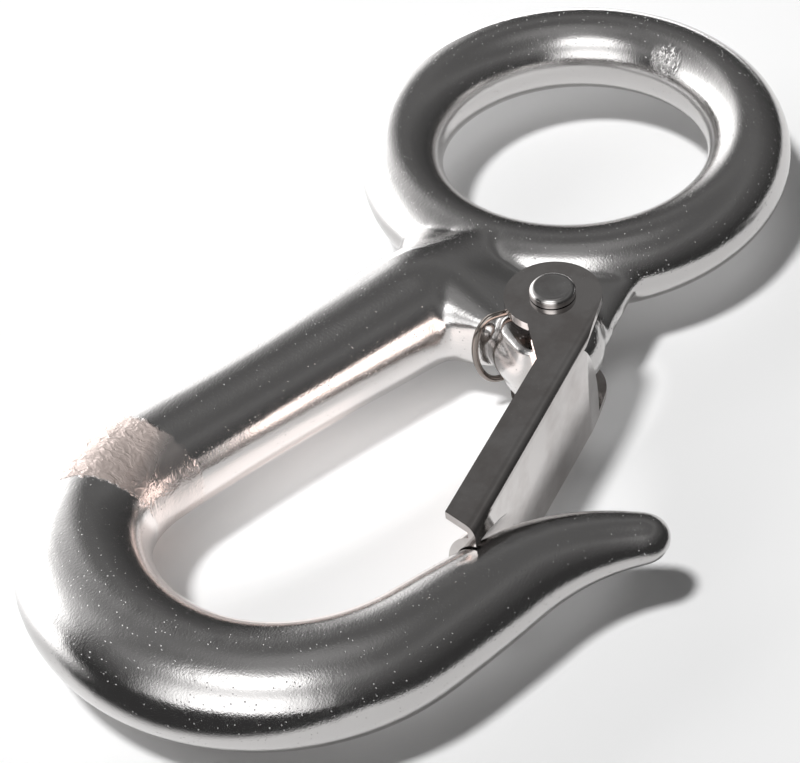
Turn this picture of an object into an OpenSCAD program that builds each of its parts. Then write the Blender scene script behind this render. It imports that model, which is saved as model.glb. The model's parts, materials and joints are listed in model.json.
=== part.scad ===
// Eye snap hook: a forged hook with a round eye and a spring-loaded gate of folded sheet steel.
// Origin: centre of the eye, on the mid plane of the forging. +X runs from the eye to the bowl,
// +Y to the side where the hook opens, +Z up out of the surface the hook lies on.

/* [Eye] */
// Inside diameter of the eye
eye_inner_d = 32; // [26:1:39]
// Diameter of the bar that forms the eye
eye_bar_d = 10; // [8:0.5:12]

/* [Shank] */
// Distance from the eye's bar to where the full shank begins
neck_length = 12; // [10:0.5:15]
// Sideways place of the shank's axis where the full shank begins
neck_offset = -3.7; // [-6:0.1:-2]
// Angle that the shank leans away from the line of pull
shank_lean = 21.5; // [18:0.5:25]
// Length of the straight shank
shank_length = 37.3; // [31:0.1:45]
// Diameter of the straight shank
shank_d = 13; // [11:0.5:14]
// Diameter of the shank where it meets the neck
neck_d = 14; // [12:0.2:15]

/* [Bowl and nose] */
// Centre-line radius of the tighter bend behind the shank
back_bend_r = 16.3; // [13.5:0.1:19.6]
// Angle that the back bend turns
back_bend_angle = 73; // [65:1:80]
// Centre-line radius of the wider bend at the front of the bowl
front_bend_r = 22.3; // [18.5:0.1:26.8]
// Angle that the front bend turns
front_bend_angle = 108; // [100:1:112]
// Length of the straight root of the nose, where the gate beds
nose_root_length = 12.2; // [10:0.2:15]
// Centre-line radius of the nose's outward curve
nose_r = 22.5; // [19:0.5:28]
// Angle that the nose turns back outward
nose_angle = 39; // [32:1:44]
// Diameter of the bowl where it is thickest
bowl_d = 15.2; // [12.8:0.1:17]
// Diameter of the nose just before its rounded tip
nose_d = 5.8; // [5:0.1:7]

/* [Pivot boss] */
// Distance of the rivet from the eye's bar, along the line of pull
pivot_reach = 10.2; // [9:0.2:12]
// Distance of the rivet from the line of pull
pivot_offset = 14; // [13.5:0.1:16]
// Radius of the boss around the rivet
boss_r = 5.7; // [5.2:0.1:5.8]
// Thickness of the boss
boss_thickness = 8.6; // [8:0.1:9]
// Distance from the rivet to the face of the boss's tongue
tongue_reach = 6.2; // [5.8:0.1:6.4]
// Angle of the tongue below the line of pull
tongue_angle = 31; // [27:1:35]
// How far the tongue's face bulges at mid height
tongue_bulge = 1.1; // [0.6:0.1:1.3]

/* [Gate] */
// Width of the folded gate, over both of its sides
gate_width = 15.4; // [15:0.1:18]
// Thickness of the gate's sheet
gate_sheet = 1; // [0.8:0.1:1.2]
// Depth of the gate's sides, over the sheet
gate_depth = 4; // [3.4:0.1:4.6]
// Distance from the rivet to the outer face of the gate's web
web_offset = 6.35; // [6.3:0.05:6.8]
// Radius of the gate's ears
ear_r = 5.5; // [5:0.1:5.8]
// Outside radius of the folds
fold_r = 1.5; // [1.3:0.1:1.8]
// Depth of the scoop in the gate's tip, below the web's outer face
scoop_depth = 3.25; // [2.8:0.05:3.5]
// How much larger the scoop's radius is than the nose's
scoop_play = 0.25; // [0.1:0.05:1]
// Angle between the scoop and the gate's web
scoop_lean = 21; // [19:1:24]
// Gap between the scoop and the nose when the gate is shut
seat_gap = 0.3; // [0.2:0.05:0.5]

/* [Rivet] */
// Diameter of the rivet's shank
rivet_d = 3.2; // [2.7:0.1:3.8]
// Diameter of each rivet head
rivet_head_d = 5.2; // [5:0.1:6.2]
// Height of each rivet head
rivet_head_h = 1.1; // [0.8:0.1:1.4]
// Radial play between the rivet and the gate's ears
rivet_play = 0.06; // [0.03:0.01:0.1]

/* [Spring] */
// Diameter of the spring wire
wire_d = 0.8; // [0.7:0.05:0.85]
// Distance from the rivet's axis to the end of the loop that bears on the neck
loop_reach = 8.9; // [8.6:0.1:9.2]
// Length of the legs that push the gate, from the rivet's axis
leg_reach = 20; // [16:1:24]

/* [Hidden] */

ring_r = (eye_inner_d + eye_bar_d) / 2;
neck_start = [ring_r + neck_length, neck_offset];
pivot = [ring_r + pivot_reach, pivot_offset];

// The bar's centre line: [length, curvature] of each stretch, positive curving to the mouth side.
back_bend_length = back_bend_r * back_bend_angle * PI / 180;
front_bend_length = front_bend_r * front_bend_angle * PI / 180;
nose_curve_length = nose_r * nose_angle * PI / 180;
stretches = [
    [shank_length, 0],
    [back_bend_length, 1 / back_bend_r],
    [front_bend_length, 1 / front_bend_r],
    [nose_root_length, 0],
    [nose_curve_length, -1 / nose_r]
];
stretch_steps = [6, 15, 22, 4, 9];
bowl_start = shank_length + back_bend_length;
nose_start = bowl_start + front_bend_length;
bar_length = nose_start + nose_root_length + nose_curve_length;

// The bar's radius: [distance along the centre line, radius].
bar_radii = [
    [0, neck_d / 2],
    [shank_length * 0.45, shank_d / 2],
    [shank_length * 0.8, shank_d / 2],
    [shank_length + back_bend_length * 0.45, bowl_d / 2 - 0.5],
    [bowl_start, bowl_d / 2],
    [bowl_start + front_bend_length * 0.5, bowl_d / 2 - 0.8],
    [nose_start, bowl_d / 2 - 1.45],
    [(nose_start + bar_length) / 2, bowl_d / 2 - 2.5],
    [bar_length, nose_d / 2]
];
tip_length = nose_d * 0.55;
tip_steps = 7;
bar_sides = 32;

// Taper that carries the shank's start into the eye.
neck_root = [ring_r - 1, 0.6];
neck_root_r = eye_bar_d / 2 - 0.3;
neck_steps = 5;

// Where the gate meets the nose.
seat_station = nose_start + 9.4;
mid_plane_cover = gate_width + 10;
gap_under_ear = 0.3;
inner_half = gate_width / 2 - gate_sheet;
neck_half = inner_half - gap_under_ear;

web_end = 2;
web_end_arc_r = 19;
web_end_arc_z = -5.5;
web_top = 6;
ear_corner = [10.3, web_offset - gate_depth];
tip_slant = 1.5;
tip_inset = 0.3;
seat_depth = web_offset - scoop_depth;

// The spring: two coils around the rivet, joined by a loop that bears on the neck.
coil_r = rivet_d / 2 + wire_d / 2 + 0.25;
coil_low = boss_thickness / 2 + wire_d / 2 + 0.1;
coil_high = inner_half - wire_d / 2 - 0.1;
loop_angle = -41.5;
loop_depth = 2.5;
web_inside = web_offset - gate_sheet - wire_d / 2 - 0.05;

// ---------- centre line ----------

function advance(pose, length, bend) =
    let (turn = length * bend * 180 / PI)
    bend == 0
        ? [pose[0] + length * cos(pose[2]), pose[1] + length * sin(pose[2]), pose[2]]
        : [pose[0] + (sin(pose[2] + turn) - sin(pose[2])) / bend,
           pose[1] - (cos(pose[2] + turn) - cos(pose[2])) / bend,
           pose[2] + turn];

// Pose [x, y, heading] of the centre line at a distance along it.
function pose_at(distance, pose = [neck_start[0], neck_start[1], -shank_lean], i = 0) =
    i == len(stretches) - 1 || distance <= stretches[i][0]
        ? advance(pose, distance, stretches[i][1])
        : pose_at(distance - stretches[i][0],
                  advance(pose, stretches[i][0], stretches[i][1]), i + 1);

function slope(table, i) =
    let (a = max(i - 1, 0), b = min(i + 1, len(table) - 1))
    (table[b][1] - table[a][1]) / (table[b][0] - table[a][0]);

// Smooth curve through a table of [position, value].
function smooth_lookup(table, at, i = 0) =
    i < len(table) - 2 && at > table[i + 1][0]
        ? smooth_lookup(table, at, i + 1)
        : let (
            span = table[i + 1][0] - table[i][0],
            t = (at - table[i][0]) / span,
            h = t * t * (3 - 2 * t)
          )
          table[i][1] * (1 - h) + table[i + 1][1] * h
          + span * slope(table, i) * t * (1 - t) * (1 - t)
          - span * slope(table, i + 1) * t * t * (1 - t);

function bar_radius(distance) = smooth_lookup(bar_radii, distance);

// ---------- sweeps ----------

// A ring of points around a centre, in the plane of two unit vectors.
function ring(centre, u, v, radius, sides) =
    [for (k = [0 : sides - 1])
        centre + radius * (cos(360 * k / sides) * u + sin(360 * k / sides) * v)];

// A closed skin over a list of rings that all have the same number of points.
module skin(rings) {
    sides = len(rings[0]);
    last = len(rings) - 1;
    points = [for (r = rings) each r];
    faces = [
        [for (k = [0 : sides - 1]) k],
        for (i = [0 : last - 1], k = [0 : sides - 1])
            [i * sides + k, (i + 1) * sides + k,
             (i + 1) * sides + (k + 1) % sides, i * sides + (k + 1) % sides],
        [for (k = [sides - 1 : -1 : 0]) last * sides + k]
    ];
    polyhedron(points = points, faces = faces, convexity = 6);
}

function bar_ring(pose, radius) =
    ring([pose[0], pose[1], 0], [-sin(pose[2]), cos(pose[2]), 0], [0, 0, 1], radius, bar_sides);

// ---------- hook body ----------

module bar() {
    starts = [for (i = 0, at = 0; i < len(stretches); at = at + stretches[i][0], i = i + 1) at];
    stations = [
        for (i = [0 : len(stretches) - 1], k = [0 : stretch_steps[i] - 1])
            starts[i] + stretches[i][0] * k / stretch_steps[i]
    ];
    neck_rings = [
        for (k = [0 : neck_steps - 1])
            let (
                t = k / neck_steps,
                swell = t * t * (3 - 2 * t),
                at = neck_root + t * (neck_start - neck_root),
                heading = -shank_lean * t
            )
            bar_ring([at[0], at[1], heading], neck_root_r + swell * (neck_d / 2 - neck_root_r))
    ];
    tip_rings = [
        for (k = [0 : tip_steps])
            let (angle = 90 * k / (tip_steps + 0.6), past = tip_length * sin(angle))
            bar_ring(pose_at(bar_length + past), nose_d / 2 * cos(angle))
    ];
    skin(concat(
        neck_rings,
        [for (s = stations) bar_ring(pose_at(s), bar_radius(s))],
        tip_rings
    ));
}

module eye() {
    rotate_extrude($fn = 96) translate([ring_r, 0]) circle(d = eye_bar_d, $fn = 48);
}

// A ball squeezed along the rivet's axis.
module lens(radius, half_height) {
    scale([1, 1, half_height / radius]) sphere(r = radius, $fn = 32);
}

// Solid metal between the eye, the shank and the boss, thinner toward the mouth.
module neck() {
    hull() {
        translate([ring_r * 0.86, ring_r * 0.62, 0]) lens(eye_bar_d / 2 - 0.2, eye_bar_d / 2 - 1.2);
        translate([ring_r + 2.5, -1.5, 0]) sphere(d = eye_bar_d + 0.6, $fn = 32);
        translate([ring_r + 9.4, -2.6, 0]) sphere(d = neck_d - 1, $fn = 32);
        translate([pivot[0] + 1.3, pivot[1] - 9, 0]) pebble(3, boss_thickness / 2 + 0.3, 1.4);
        translate([pivot[0] - 2, pivot[1] - 0.2, 0]) lens(boss_r - 0.3, boss_thickness / 2 - 0.1);
    }
}

// A disc with a rounded rim.
module pebble(radius, half_height, rim) {
    rotate_extrude($fn = 32) {
        translate([0, -half_height]) square([radius - rim, 2 * half_height]);
        translate([0, rim - half_height]) square([radius, 2 * (half_height - rim)]);
        for (side = [-1, 1])
            translate([radius - rim, side * (half_height - rim)]) circle(rim, $fn = 24);
    }
}

// Boss between the gate's ears: flat in the middle, falling away to a thin rim, with a
// round-faced tongue toward the bowl.
module boss() {
    half = boss_thickness / 2;
    rim = [[1, 0], [0.975, 0.3], [0.91, 0.55], [0.77, 0.8], [0.57, 1]];
    corner_r = 2.4;
    bulge_r = half - 0.05;
    face_ends = [-1.2, 1.8];
    bulge_ends = [-2.1, 0.3];
    rotate_extrude($fn = 64)
        polygon([
            [0, -half],
            for (i = [len(rim) - 1 : -1 : 1]) [boss_r * rim[i][0], -half * rim[i][1]],
            for (step = rim) [boss_r * step[0], half * step[1]],
            [0, half]
        ]);
    linear_extrude(height = boss_thickness, center = true)
        rotate(-tongue_angle)
        translate([tongue_reach - corner_r, 0]) {
            for (y = face_ends) translate([0, y]) circle(corner_r, $fn = 48);
            translate([-corner_r, face_ends[0]])
                square([2 * corner_r, face_ends[1] - face_ends[0]]);
        }
    rotate([0, 0, -tongue_angle])
        translate([tongue_reach + tongue_bulge - bulge_r, 0, 0]) {
            for (y = bulge_ends) translate([0, y, 0]) sphere(bulge_r, $fn = 48);
            translate([0, bulge_ends[0], 0])
                rotate([-90, 0, 0])
                cylinder(r = bulge_r, h = bulge_ends[1] - bulge_ends[0], $fn = 48);
        }
}

// Room around the boss for the ears, the spring's coils and its loop.
module boss_clearance() {
    coil_room = boss_r - 1;
    ear_room = ear_r + 0.8;
    for (side = [0, 1])
        mirror([0, 0, side]) {
            translate([0, 0, boss_thickness / 2])
                linear_extrude(height = gate_width) {
                    circle(coil_room, $fn = 64);
                    rotate(loop_angle)
                        translate([-1, -coil_r - wire_d])
                        square([13, coil_r + wire_d + boss_r - 0.4]);
                }
            translate([0, 0, neck_half]) cylinder(r = ear_room, h = gate_width, $fn = 64);
        }
}

module hook_body() {
    color("silver")
    difference() {
        union() {
            difference() {
                neck();
                translate([pivot[0], pivot[1], 0]) boss_clearance();
            }
            eye();
            bar();
            translate([pivot[0], pivot[1], 0]) boss();
        }
        translate([pivot[0], pivot[1], 0])
            cylinder(d = rivet_d + 0.04, h = mid_plane_cover, center = true, $fn = 48);
    }
}

// ---------- gate ----------

seat_pose = pose_at(seat_station);
seat_normal = [-sin(seat_pose[2]), cos(seat_pose[2])];
seat_point = [seat_pose[0], seat_pose[1]] + (bar_radius(seat_station) + seat_gap) * seat_normal;
seat_vector = seat_point - pivot;
scoop_r = bar_radius(seat_station) + scoop_play;
gate_angle = atan2(seat_vector[1], seat_vector[0]) - asin(seat_depth / norm(seat_vector));
gate_length = sqrt(norm(seat_vector) ^ 2 - seat_depth ^ 2);

// Section of the gate: three sides of a box with round folds, open toward the shank.
module gate_section(inward) {
    module block(t) {
        half = gate_width / 2 - t;
        r = fold_r - t;
        translate([-inward, -half]) square([inward + web_offset - t - r, 2 * half]);
        translate([-inward, -half + r]) square([inward + web_offset - t, 2 * (half - r)]);
        for (side = [-1, 1])
            translate([web_offset - t - r, side * (half - r)]) circle(r, $fn = 48);
    }
    difference() {
        block(0);
        block(gate_sheet);
        translate([-inward - 1, -inner_half]) square([inward + 1.5, 2 * inner_half]);
    }
}

// Outline of the gate seen along the rivet.
module gate_outline() {
    circle(ear_r, $fn = 72);
    polygon([
        [-ear_r * sin(4), ear_r * cos(4)],
        [web_top, web_offset + 0.01],
        [gate_length + 3, web_offset + 0.01],
        [gate_length + 3, ear_corner[1]],
        ear_corner,
        [ear_r * cos(-8), ear_r * sin(-8)]
    ]);
}

module gate_channel() {
    intersection() {
        translate([-ear_r - 1, 0, 0])
            rotate([90, 0, 90])
            linear_extrude(height = gate_length + ear_r + 6)
            gate_section(ear_r + 1);
        linear_extrude(height = mid_plane_cover, center = true) gate_outline();
    }
}

// Everything past the round end of the web, next to the rivet.
module web_end_cut() {
    difference() {
        translate([-ear_r - 2, ear_r - 0.35, -inner_half])
            cube([ear_r + 2 + web_end + web_end_arc_r, 5, 2 * inner_half]);
        translate([web_end + web_end_arc_r, 0, web_end_arc_z])
            rotate([-90, 0, 0])
            cylinder(r = web_end_arc_r, h = 20, $fn = 96);
    }
}

// A long round bar along the scoop's axis, on the side of the nose.
module scoop_bar(radius) {
    translate([gate_length, seat_depth, 0])
        rotate([0, 0, -scoop_lean])
        translate([0, scoop_r, 0])
        rotate([0, 90, 0])
        cylinder(r = radius, h = 80, center = true, $fn = 96);
}

module tip_cut() {
    translate([gate_length - tip_inset, ear_corner[1], 0])
        rotate([0, 0, -atan(tip_slant / gate_depth)])
        translate([0, -20, -mid_plane_cover / 2])
        cube([30, 40, mid_plane_cover]);
}

module gate() {
    color("gainsboro")
    translate([pivot[0], pivot[1], 0])
    rotate([0, 0, gate_angle])
    difference() {
        union() {
            difference() {
                gate_channel();
                web_end_cut();
            }
            intersection() {
                scoop_bar(scoop_r + gate_sheet);
                translate([web_top + 4, -ear_r, -gate_width / 2 + gate_sheet / 2])
                    cube([gate_length, ear_r + web_offset, gate_width - gate_sheet]);
            }
        }
        scoop_bar(scoop_r);
        tip_cut();
        cylinder(r = rivet_d / 2 + rivet_play, h = mid_plane_cover, center = true, $fn = 48);
    }
}

// ---------- rivet ----------

module rivet() {
    head_base = gate_width / 2 + 0.1;
    edge = 0.6;
    head_profile = [
        [0, head_base],
        [rivet_head_d / 2, head_base],
        for (a = [0 : 15 : 90])
            [rivet_head_d / 2 - edge + edge * cos(a), head_base + rivet_head_h - edge + edge * sin(a)],
        [0, head_base + rivet_head_h]
    ];
    color("gainsboro")
    translate([pivot[0], pivot[1], 0]) {
        cylinder(d = rivet_d, h = 2 * head_base + 0.4, center = true, $fn = 48);
        for (side = [0, 1])
            mirror([0, 0, side])
            rotate_extrude($fn = 48)
            polygon(head_profile);
    }
}

// ---------- spring ----------

leg_angle = gate_angle + atan((web_inside - coil_r) / leg_reach);
coil_sweep = 360 + 180 + loop_angle - leg_angle;
coil_steps = 24;
wire_sides = 10;

// Unit vector at an angle in the plane.
function unit(angle) = [cos(angle), sin(angle), 0];

// The upper half of the wire: half the loop, one coil around the rivet, one leg inside the gate.
function half_route() = concat(
    [for (a = [0 : 15 : 90])
        (loop_reach - loop_depth + loop_depth * cos(a)) * unit(loop_angle)
        + coil_r * unit(loop_angle - 90) + [0, 0, coil_low * sin(a)]],
    [for (k = [0 : coil_steps])
        let (t = k / coil_steps, at = loop_angle - 90 - t * coil_sweep)
        coil_r * unit(at) + [0, 0, coil_low + t * (coil_high - coil_low)]],
    [for (reach = [leg_reach / 2, leg_reach])
        coil_r * unit(leg_angle + 90) + reach * unit(leg_angle) + [0, 0, coil_high]]
);

function flipped(points) =
    [for (i = [len(points) - 1 : -1 : 1]) [points[i][0], points[i][1], -points[i][2]]];

function direction(points, i) =
    let (step = points[min(i + 1, len(points) - 1)] - points[max(i - 1, 0)]) step / norm(step);

// Normals carried along the wire without twist.
function carried(points, i, normal) =
    i == len(points)
        ? []
        : let (
            along = direction(points, i),
            flat = normal - (normal * along) * along,
            here = flat / norm(flat)
          )
          concat([here], carried(points, i + 1, here));

module wire(points) {
    normals = carried(points, 0, [0, 0, 1]);
    skin([
        for (i = [0 : len(points) - 1])
            ring(points[i], normals[i], cross(direction(points, i), normals[i]), wire_d / 2, wire_sides)
    ]);
}

module spring() {
    half = half_route();
    color("gray")
    translate([pivot[0], pivot[1], 0])
    wire(concat(flipped(half), half));
}

hook_body();
gate();
rivet();
spring();
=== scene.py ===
"""Eye snap hook: the looks of a forged hook with a spring-loaded gate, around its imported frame.

Every piece is modelled in millimetres about the eye's centre, and brought to metres last.
"""

from __future__ import annotations

import json
import logging
import math
from contextlib import contextmanager
from dataclasses import dataclass, field
from enum import Enum
from typing import Callable, Iterator, Sequence

import bmesh
import bpy
from mathutils import Matrix, Vector

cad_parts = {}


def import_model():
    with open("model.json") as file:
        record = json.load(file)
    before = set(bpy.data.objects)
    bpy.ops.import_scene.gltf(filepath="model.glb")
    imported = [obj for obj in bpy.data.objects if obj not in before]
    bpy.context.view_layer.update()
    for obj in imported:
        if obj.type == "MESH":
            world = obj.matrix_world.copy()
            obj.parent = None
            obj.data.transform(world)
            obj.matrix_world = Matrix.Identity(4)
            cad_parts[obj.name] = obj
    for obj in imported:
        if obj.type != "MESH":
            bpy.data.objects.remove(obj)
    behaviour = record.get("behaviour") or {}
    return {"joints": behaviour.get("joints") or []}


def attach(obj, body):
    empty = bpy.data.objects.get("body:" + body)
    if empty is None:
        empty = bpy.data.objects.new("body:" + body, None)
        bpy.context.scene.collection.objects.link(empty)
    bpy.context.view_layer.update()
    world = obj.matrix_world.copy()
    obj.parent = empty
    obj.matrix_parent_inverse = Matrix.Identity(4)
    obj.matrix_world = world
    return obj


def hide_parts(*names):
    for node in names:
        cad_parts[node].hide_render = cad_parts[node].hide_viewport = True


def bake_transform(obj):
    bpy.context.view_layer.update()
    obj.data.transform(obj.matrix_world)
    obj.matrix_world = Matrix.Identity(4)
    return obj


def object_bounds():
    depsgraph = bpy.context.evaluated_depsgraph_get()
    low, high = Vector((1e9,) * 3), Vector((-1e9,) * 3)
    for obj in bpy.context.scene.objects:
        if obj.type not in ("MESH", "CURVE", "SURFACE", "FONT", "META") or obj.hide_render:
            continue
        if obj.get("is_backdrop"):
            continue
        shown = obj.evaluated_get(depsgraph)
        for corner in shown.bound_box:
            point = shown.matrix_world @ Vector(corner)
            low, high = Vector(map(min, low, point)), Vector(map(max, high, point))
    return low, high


LOG = logging.getLogger("snap_hook")
METRES_PER_MM = 0.001
THROUGH = 30.0  # the length of a tool that cuts right through the hook

Table = tuple[tuple[float, float], ...]
Edges = tuple[tuple[float, float, float], ...]


# ---------- small tools ----------


class Join(Enum):
    """How one solid changes another."""

    ADD = "UNION"
    CUT = "DIFFERENCE"
    KEEP = "INTERSECT"


class Part(Enum):
    """What is selected in edit mode."""

    VERTS = "VERT"
    EDGES = "EDGE"
    FACES = "FACE"


def unit(angle: float) -> Vector:
    """Gives the unit vector at an angle in degrees in the XY plane."""
    return Vector((math.cos(math.radians(angle)), math.sin(math.radians(angle)), 0.0))


def toward(azimuth: float, elevation: float) -> Vector:
    """Gives the unit vector at an azimuth and an elevation in degrees."""
    up = math.radians(elevation)
    return unit(azimuth) * math.cos(up) + Vector((0.0, 0.0, math.sin(up)))


def alone(piece: bpy.types.Object) -> None:
    """Makes a piece the only one selected, and active.

    Args:
        piece: The piece to work on.
    """
    if bpy.context.mode != "OBJECT":
        bpy.ops.object.mode_set(mode="OBJECT")
    bpy.ops.object.select_all(action="DESELECT")
    piece.select_set(True)
    bpy.context.view_layer.objects.active = piece


@contextmanager
def editing(piece: bpy.types.Object) -> Iterator[None]:
    """Opens a piece in edit mode with all of it selected, and closes it after the work.

    Args:
        piece: The piece to edit.

    Yields:
        Once, while the piece is open.
    """
    alone(piece)
    bpy.ops.object.mode_set(mode="EDIT")
    bpy.ops.mesh.select_all(action="SELECT")
    yield
    bpy.ops.object.mode_set(mode="OBJECT")


def face_outwards() -> None:
    """In edit mode, points every face outwards."""
    bpy.ops.mesh.select_all(action="SELECT")
    bpy.ops.mesh.normals_make_consistent(inside=False)


def pick(piece: bpy.types.Object, part: Part, where: Callable[[object], bool]) -> None:
    """In edit mode, selects the vertices, edges or faces that pass a test.

    Args:
        piece: The piece in edit mode.
        part: What is selected.
        where: The test on one vertex, edge or face.
    """
    bpy.ops.mesh.select_mode(type=part.value)
    bpy.ops.mesh.select_all(action="DESELECT")
    mesh = bmesh.from_edit_mesh(piece.data)
    mesh.normal_update()
    for item in getattr(mesh, part.name.lower()):
        item.select_set(where(item))
    if part is Part.VERTS:
        mesh.select_flush(True)
    bmesh.update_edit_mesh(piece.data)


def settle(piece: bpy.types.Object) -> bpy.types.Object:
    """Moves a piece's place, turn and size into its mesh.

    Args:
        piece: The piece to settle.

    Returns:
        The same piece.
    """
    alone(piece)
    bpy.ops.object.transform_apply(location=True, rotation=True, scale=True)
    return piece


def fresh(name: str) -> bpy.types.Object:
    """Names the primitive that was just added, and settles it.

    Args:
        name: The name it gets.

    Returns:
        The new piece.
    """
    piece = bpy.context.view_layer.objects.active
    piece.name = piece.data.name = name
    return settle(piece)


def place(piece: bpy.types.Object, angle: float, spot: Sequence[float]) -> bpy.types.Object:
    """Turns a piece about Z, then moves it, and settles it.

    Args:
        piece: The piece to place.
        angle: Turn about Z, in degrees.
        spot: Where the piece's origin goes.

    Returns:
        The same piece.
    """
    piece.rotation_euler = (0.0, 0.0, math.radians(angle))
    piece.location = spot
    return settle(piece)


def cylinder(
    name: str,
    radius: float,
    length: float = THROUGH,
    spot: Sequence[float] = (0.0, 0.0, 0.0),
    sides: int = 64,
    turn: Sequence[float] = (0.0, 0.0, 0.0),
) -> bpy.types.Object:
    """Adds a cylinder, upright unless it is turned.

    Args:
        name: Its name.
        radius: Its radius.
        length: Its whole length.
        spot: Its middle.
        sides: How many flats go round it.
        turn: Its rotation.

    Returns:
        The cylinder.
    """
    bpy.ops.mesh.primitive_cylinder_add(
        vertices=sides, radius=radius, depth=length, location=spot, rotation=turn
    )
    return fresh(name)


def block(name: str, low: Sequence[float], high: Sequence[float]) -> bpy.types.Object:
    """Adds a box between two corners.

    Args:
        name: Its name.
        low: Its lowest corner.
        high: Its highest corner.

    Returns:
        The box.
    """
    middle = [(start + end) / 2 for start, end in zip(low, high)]
    size = [end - start for start, end in zip(low, high)]
    bpy.ops.mesh.primitive_cube_add(size=1.0, location=middle, scale=size)
    return fresh(name)


def finish_with(piece: bpy.types.Object, kind: str, **settings: object) -> None:
    """Adds a modifier and applies it.

    Args:
        piece: The piece it works on.
        kind: The modifier's type.
        **settings: The modifier's own settings.
    """
    alone(piece)
    modifier = piece.modifiers.new(kind.title(), kind)
    for name, value in settings.items():
        setattr(modifier, name, value)
    bpy.ops.object.modifier_apply(modifier=modifier.name)


def combine(piece: bpy.types.Object, tool: bpy.types.Object, how: Join) -> None:
    """Adds, cuts or keeps by a second solid, which is used up.

    Args:
        piece: The solid that changes.
        tool: The solid it is changed by.
        how: What the second solid does.
    """
    finish_with(piece, "BOOLEAN", operation=how.value, object=tool, solver="MANIFOLD")
    bpy.data.objects.remove(tool)


def merge(pieces: Sequence[bpy.types.Object], name: str) -> bpy.types.Object:
    """Joins several meshes into one object.

    Args:
        pieces: The meshes to join.
        name: The name of the result.

    Returns:
        The joined object.
    """
    alone(pieces[0])
    for piece in pieces[1:]:
        piece.select_set(True)
    bpy.ops.object.join()
    pieces[0].name = pieces[0].data.name = name
    return pieces[0]


def smooth(piece: bpy.types.Object, angle: float) -> None:
    """Shades a piece smooth, but for edges sharper than an angle.

    Args:
        piece: The piece to shade.
        angle: The sharpest angle that stays smooth, in degrees.
    """
    alone(piece)
    bpy.ops.object.shade_smooth_by_angle(angle=math.radians(angle))


def dress(piece: bpy.types.Object, material: bpy.types.Material) -> bpy.types.Object:
    """Gives a piece one material all over.

    Args:
        piece: The piece to dress.
        material: Its material.

    Returns:
        The same piece.
    """
    piece.data.materials.clear()
    piece.data.materials.append(material)
    return piece


# ---------- materials ----------

SMOOTH = {"interpolation_type": "SMOOTHSTEP"}


def linear(hex_colour: str) -> tuple[float, float, float, float]:
    """Turns an sRGB hex colour to linear.

    Args:
        hex_colour: A colour such as "#C9C6C3".

    Returns:
        The linear red, green and blue, and an alpha of 1.
    """
    parts = [int(hex_colour[i : i + 2], 16) / 255 for i in (1, 3, 5)]
    red, green, blue = (p / 12.92 if p <= 0.04045 else ((p + 0.055) / 1.055) ** 2.4 for p in parts)
    return red, green, blue, 1.0


def per_mm(size: float) -> float:
    """Gives a texture scale whose features are a size in millimetres."""
    return 1.0 / (size * METRES_PER_MM)


def span(low: float, high: float, start: float = 0.0, end: float = 1.0) -> dict[str, float]:
    """Lists the four ends of a change of range, from low and high to start and end."""
    return {"From_Min": low, "From_Max": high, "To_Min": start, "To_Max": end}


@dataclass
class Shade:
    """A material or world being wired up, node by node."""

    tree: bpy.types.NodeTree

    def add(
        self, kind: str, settings: dict | None = None, out: int | str = 0, **inputs: object
    ) -> bpy.types.NodeSocket | None:
        """Adds a node with its settings, and sets or links its inputs.

        Args:
            kind: The node's type, without its usual first part.
            settings: Properties of the node itself, and "stops" for a ramp's places and levels.
            out: The output that is wanted.
            **inputs: Values or sockets by input name, with underscores for spaces, or in0, in1.

        Returns:
            The output that is wanted, or None where the node has none.
        """
        node = self.tree.nodes.new("ShaderNode" + kind)
        for name, value in (settings or {}).items():
            if name != "stops":
                setattr(node, name, value)
                continue
            stops = node.color_ramp.elements
            for at, _ in value[1:-1]:
                stops.new(at)
            for stop, (at, level) in zip(stops, value):
                stop.position = at
                stop.color = (level, level, level, 1.0)
        for name, value in inputs.items():
            key = int(name[2:]) if name[:2] == "in" and name[2:].isdigit() else name.replace("_", " ")
            if isinstance(value, bpy.types.NodeSocket):
                self.tree.links.new(value, node.inputs[key])
            else:
                node.inputs[key].default_value = value
        return node.outputs[out] if node.outputs else None


def start_material(name: str) -> tuple[bpy.types.Material, Shade]:
    """Starts a material with nothing wired up.

    Args:
        name: The real material's name.

    Returns:
        The material, and its nodes.
    """
    material = bpy.data.materials.new(name)
    material.use_nodes = True
    material.node_tree.nodes.clear()
    return material, Shade(material.node_tree)


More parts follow.
